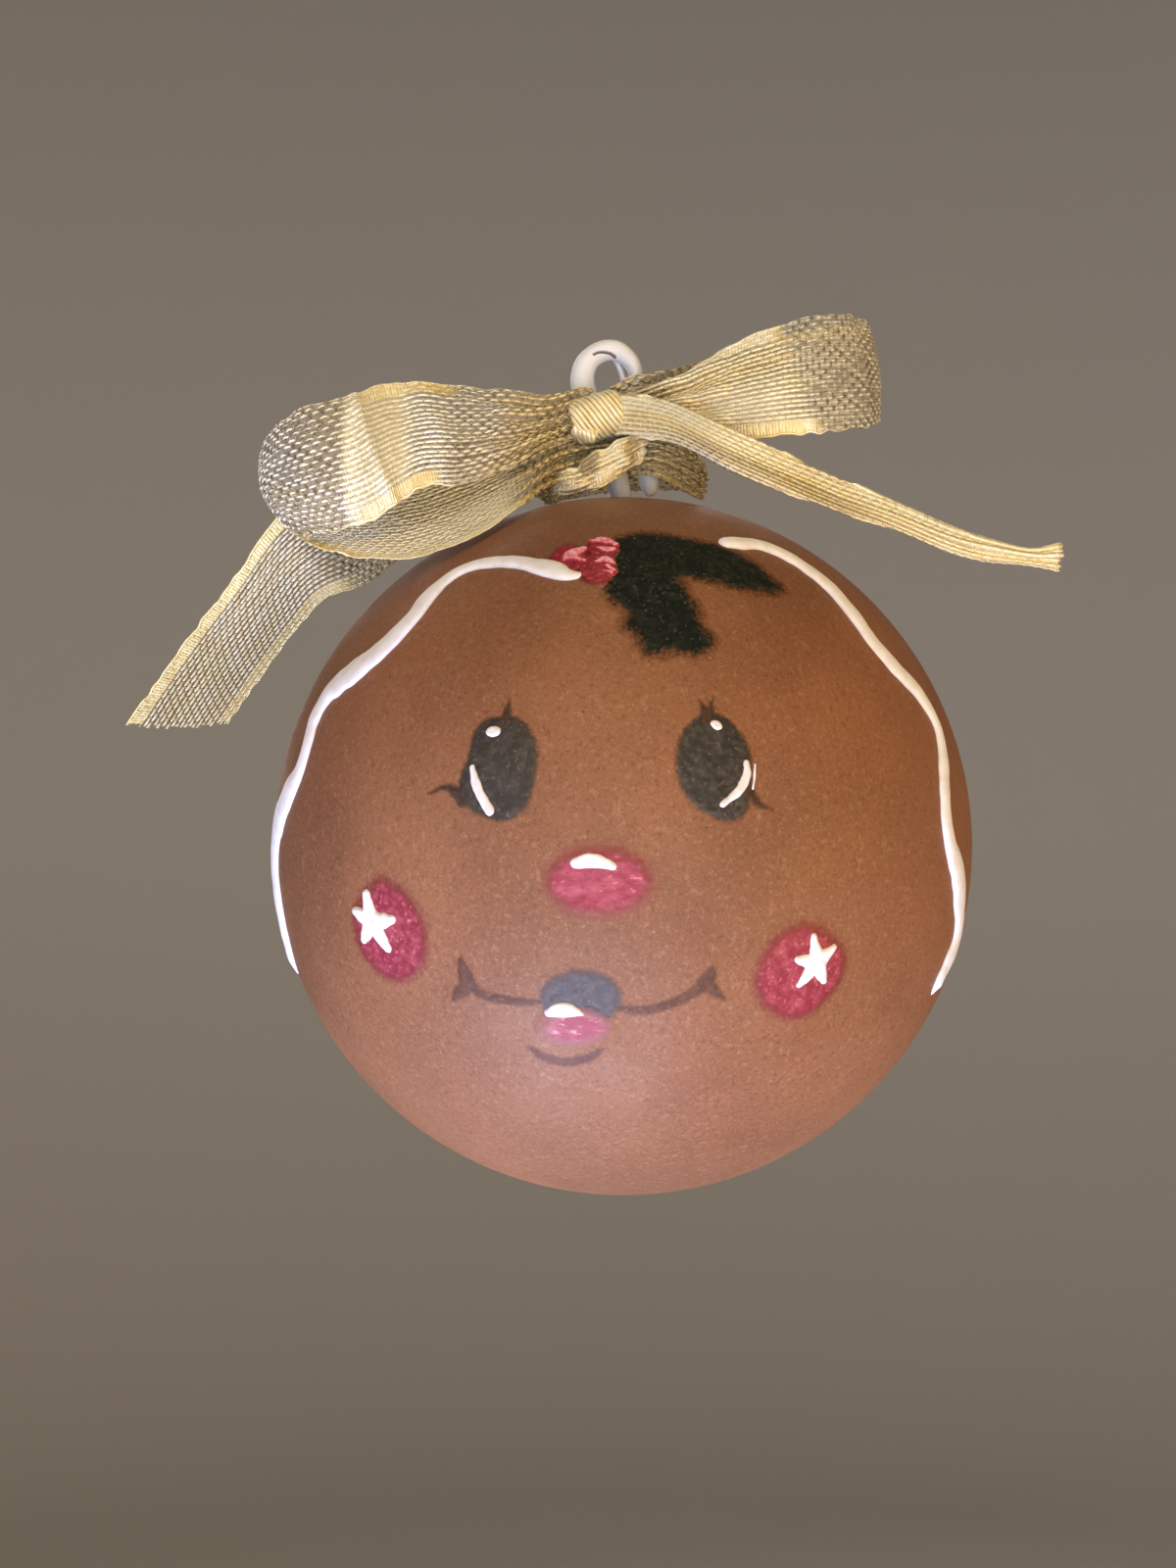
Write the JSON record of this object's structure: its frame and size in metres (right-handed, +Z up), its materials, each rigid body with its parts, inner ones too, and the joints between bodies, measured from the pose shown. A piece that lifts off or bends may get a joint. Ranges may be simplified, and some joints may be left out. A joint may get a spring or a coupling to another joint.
{
  "type": "gingerbread ornament",
  "caption": "Round hanging ornament painted as a smiling gingerbread face with icing and holly, on a moulded hook with a tied ribbon bow.",
  "frame": {"origin": "inside top of the hook's eye, where a hanging loop or twig bears; the ornament hangs below it", "axes": "+Z up as it hangs, -Y the way the painted face looks, +X to the viewer's right of the face"},
  "size_m": [0.0969, 0.0708, 0.088],
  "materials": {
    "gingerbread_paint": "matte acrylic paint with faint brush marks",
    "hook_plastic": "moulded white plastic, satin",
    "gold_ribbon": "sheer metallic organza with satin edges",
    "icing_paint": "raised satin paint",
    "holly_paint": "matte acrylic paint, dry-brushed edges",
    "berry_paint": "satin acrylic paint",
    "eye_paint": "satin acrylic paint",
    "light_paint": "raised satin paint",
    "cheek_paint": "matte acrylic paint, softly blended edge",
    "mouth_paint": "matte acrylic paint, softly blended edge",
    "line_paint": "thin matte acrylic paint"
  },
  "bodies": {
    "root": {"ball_shell": "gingerbread_paint", "hanger_hook": "hook_plastic", "ribbon_wrap": "gold_ribbon", "ribbon_knot": "gold_ribbon", "ribbon_loop_left": "gold_ribbon", "ribbon_loop_right": "gold_ribbon", "ribbon_tail_left": "gold_ribbon", "ribbon_tail_right": "gold_ribbon", "icing_left": "icing_paint", "icing_right": "icing_paint", "holly_leaf_upper": "holly_paint", "holly_leaf_lower": "holly_paint", "holly_berry_1": "berry_paint", "holly_berry_2": "berry_paint", "holly_berry_3": "berry_paint", "eye_left": "eye_paint", "eye_left_lash_top": "eye_paint", "eye_left_lash_side": "eye_paint", "eye_left_light": "light_paint", "eye_left_crescent": "light_paint", "eye_right": "eye_paint", "eye_right_lash_top": "eye_paint", "eye_right_lash_side": "eye_paint", "eye_right_light": "light_paint", "eye_right_crescent": "light_paint", "cheek_left": "cheek_paint", "cheek_left_star": "light_paint", "cheek_right": "cheek_paint", "cheek_right_star": "light_paint", "nose": "cheek_paint", "nose_light": "light_paint", "mouth": "mouth_paint", "lower_lip": "cheek_paint", "lower_lip_light": "light_paint", "smile_left": "line_paint", "smile_right": "line_paint", "chin_line": "line_paint"}
  },
  "joints": []
}
